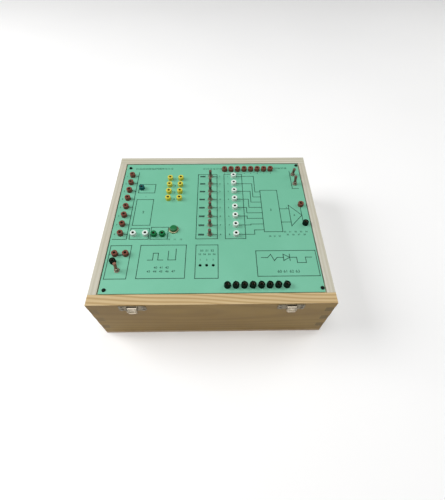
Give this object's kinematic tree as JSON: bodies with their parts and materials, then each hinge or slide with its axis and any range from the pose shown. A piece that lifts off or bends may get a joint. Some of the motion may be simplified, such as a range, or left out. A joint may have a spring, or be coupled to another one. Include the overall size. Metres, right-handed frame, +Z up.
{
  "type": "converter trainer",
  "caption": "Bench trainer in a wooden case: a printed green panel with coloured 4 mm sockets, toggle switches and a push button, latches at the front.",
  "frame": {"origin": "middle of the flat underside that the case stands on", "axes": "+X to the operator's right along the case's length, +Y to the back with the hinges, +Z up; the latches face -Y"},
  "size_m": [0.365, 0.3325, 0.1271],
  "materials": {
    "black_plastic": "moulded, glossy",
    "black_screw": "black oxide",
    "blue_plastic": "moulded, glossy",
    "box_wood": "sanded pale softwood with a thin clear coat",
    "button_metal": "lacquered",
    "button_plastic": "moulded, glossy",
    "capacitor_sleeve": "shrunk sleeve",
    "chip_plastic": "moulded",
    "circuit_board": "glass-fibre laminate",
    "core_iron": "lacquered",
    "green_plastic": "moulded, glossy",
    "heatsink_metal": "black anodised",
    "hinge_metal": "nickel plated, worn",
    "inlet_plastic": "moulded, fine grain",
    "latch_metal": "nickel plated, worn",
    "lever_maroon": "moulded",
    "lever_orange": "moulded",
    "panel_laminate": "pale green printed laminate, satin",
    "pillar_brass": "turned",
    "plated_brass": "nickel plated",
    "plywood": "plain plywood",
    "post_wood": "sawn softwood",
    "red_plastic": "moulded, glossy",
    "spring_steel": "drawn wire",
    "steel_screw": "zinc plated",
    "switch_metal": "nickel plated",
    "switch_plastic": "moulded",
    "white_plastic": "moulded, glossy",
    "winding_tape": "yellow tape over copper wire",
    "yellow_plastic": "moulded, glossy"
  },
  "bodies": {
    "case": {"back_board": "box_wood", "base_board": "plywood", "base_screws": "steel_screw", "black_socket_heads": "black_plastic", "blue_socket_heads": "blue_plastic", "board_pillars": "pillar_brass", "board_screws": "steel_screw", "button_base": "switch_plastic", "button_bezel": "button_metal", "button_nut": "switch_metal", "button_spring": "spring_steel", "capacitors": "capacitor_sleeve", "chips": "chip_plastic", "corner_posts": "post_wood", "fitting_screws": "steel_screw", "front_board": "box_wood", "green_socket_heads": "green_plastic", "heatsink": "heatsink_metal", "hinge_leaves": "hinge_metal", "hinge_pins": "hinge_metal", "inlet_blades": "plated_brass", "inlet_body": "inlet_plastic", "latch_pins": "latch_metal", "latch_plates": "latch_metal", "left_board": "box_wood", "logic_board": "circuit_board", "panel": "panel_laminate", "panel_screws": "black_screw", "pin_sockets": "plated_brass", "red_socket_heads": "red_plastic", "regulators": "chip_plastic", "right_board": "box_wood", "socket_nuts": "plated_brass", "socket_sleeves": "plated_brass", "supply_board": "circuit_board", "switch_terminals": "plated_brass", "toggle_bodies": "switch_plastic", "toggle_bushings": "switch_metal", "toggle_nuts": "switch_metal", "transformer_core": "core_iron", "transformer_strap": "core_iron", "transformer_winding": "winding_tape", "white_socket_heads": "white_plastic", "yellow_socket_heads": "yellow_plastic"},
    "left_latch_arm": {"left_latch_lever": "latch_metal"},
    "right_latch_arm": {"right_latch_lever": "latch_metal"},
    "left_latch_hook": {"left_latch_claw": "latch_metal"},
    "right_latch_hook": {"right_latch_claw": "latch_metal"},
    "button": {"button_cap": "button_plastic"},
    "toggle_1_arm": {"toggle_1_lever": "lever_maroon"},
    "toggle_2_arm": {"toggle_2_lever": "lever_maroon"},
    "toggle_3_arm": {"toggle_3_lever": "lever_maroon"},
    "toggle_4_arm": {"toggle_4_lever": "lever_maroon"},
    "toggle_5_arm": {"toggle_5_lever": "lever_maroon"},
    "toggle_6_arm": {"toggle_6_lever": "lever_maroon"},
    "toggle_7_arm": {"toggle_7_lever": "lever_maroon"},
    "toggle_8_arm": {"toggle_8_lever": "lever_maroon"},
    "toggle_upper_right_arm": {"toggle_upper_right_lever": "lever_orange"},
    "toggle_lower_right_arm": {"toggle_lower_right_lever": "lever_orange"},
    "toggle_lower_left_arm": {"toggle_lower_left_lever": "lever_orange"}
  },
  "joints": [
    {"name": "toggle_1_throw", "type": "hinge", "parent": "case", "child": "toggle_1_arm", "pos_m": [-0.0042, -0.0335, 0.1127], "axis": [1, 0, 0], "range_deg": [-26, 0]},
    {"name": "toggle_2_throw", "type": "hinge", "parent": "case", "child": "toggle_2_arm", "pos_m": [-0.0042, -0.0135, 0.1127], "axis": [1, 0, 0], "range_deg": [-26, 0]},
    {"name": "toggle_3_throw", "type": "hinge", "parent": "case", "child": "toggle_3_arm", "pos_m": [-0.0042, 0.0065, 0.1127], "axis": [1, 0, 0], "range_deg": [-26, 0]},
    {"name": "toggle_4_throw", "type": "hinge", "parent": "case", "child": "toggle_4_arm", "pos_m": [-0.0042, 0.0265, 0.1127], "axis": [1, 0, 0], "range_deg": [-26, 0]},
    {"name": "toggle_5_throw", "type": "hinge", "parent": "case", "child": "toggle_5_arm", "pos_m": [-0.0042, 0.0465, 0.1127], "axis": [1, 0, 0], "range_deg": [-26, 0]},
    {"name": "toggle_6_throw", "type": "hinge", "parent": "case", "child": "toggle_6_arm", "pos_m": [-0.0042, 0.0665, 0.1127], "axis": [1, 0, 0], "range_deg": [-26, 0]},
    {"name": "toggle_7_throw", "type": "hinge", "parent": "case", "child": "toggle_7_arm", "pos_m": [-0.0042, 0.0865, 0.1127], "axis": [1, 0, 0], "range_deg": [-26, 0]},
    {"name": "toggle_8_throw", "type": "hinge", "parent": "case", "child": "toggle_8_arm", "pos_m": [-0.0042, 0.1065, 0.1127], "axis": [1, 0, 0], "range_deg": [-26, 0]},
    {"name": "toggle_upper_right_throw", "type": "hinge", "parent": "case", "child": "toggle_upper_right_arm", "pos_m": [0.1543, 0.11, 0.1127], "axis": [1, 0, 0], "range_deg": [-26, 0]},
    {"name": "toggle_lower_right_throw", "type": "hinge", "parent": "case", "child": "toggle_lower_right_arm", "pos_m": [0.1545, 0.0845, 0.1127], "axis": [1, 0, 0], "range_deg": [0, 26]},
    {"name": "toggle_lower_left_throw", "type": "hinge", "parent": "case", "child": "toggle_lower_left_arm", "pos_m": [-0.1464, -0.102, 0.1127], "axis": [1, 0, 0], "range_deg": [0, 26]},
    {"name": "button_press", "type": "slide", "parent": "case", "child": "button", "axis": [0, 0, -1], "range_m": [0, 0.003], "stiffness_N_per_m": 300, "springref_m": -0.003, "deforming": ["button_spring"]},
    {"name": "left_latch_lift", "type": "hinge", "parent": "case", "child": "left_latch_arm", "pos_m": [-0.116, -0.1633, 0.1045], "axis": [-1, 0, 0], "range_deg": [0, 110]},
    {"name": "left_hook_swing", "type": "hinge", "parent": "left_latch_arm", "child": "left_latch_hook", "pos_m": [-0.116, -0.165, 0.1014], "axis": [-1, 0, 0], "range_deg": [0, 100]},
    {"name": "right_latch_lift", "type": "hinge", "parent": "case", "child": "right_latch_arm", "pos_m": [0.116, -0.1633, 0.1045], "axis": [-1, 0, 0], "range_deg": [0, 110]},
    {"name": "right_hook_swing", "type": "hinge", "parent": "right_latch_arm", "child": "right_latch_hook", "pos_m": [0.116, -0.165, 0.1014], "axis": [-1, 0, 0], "range_deg": [0, 100]}
  ]
}
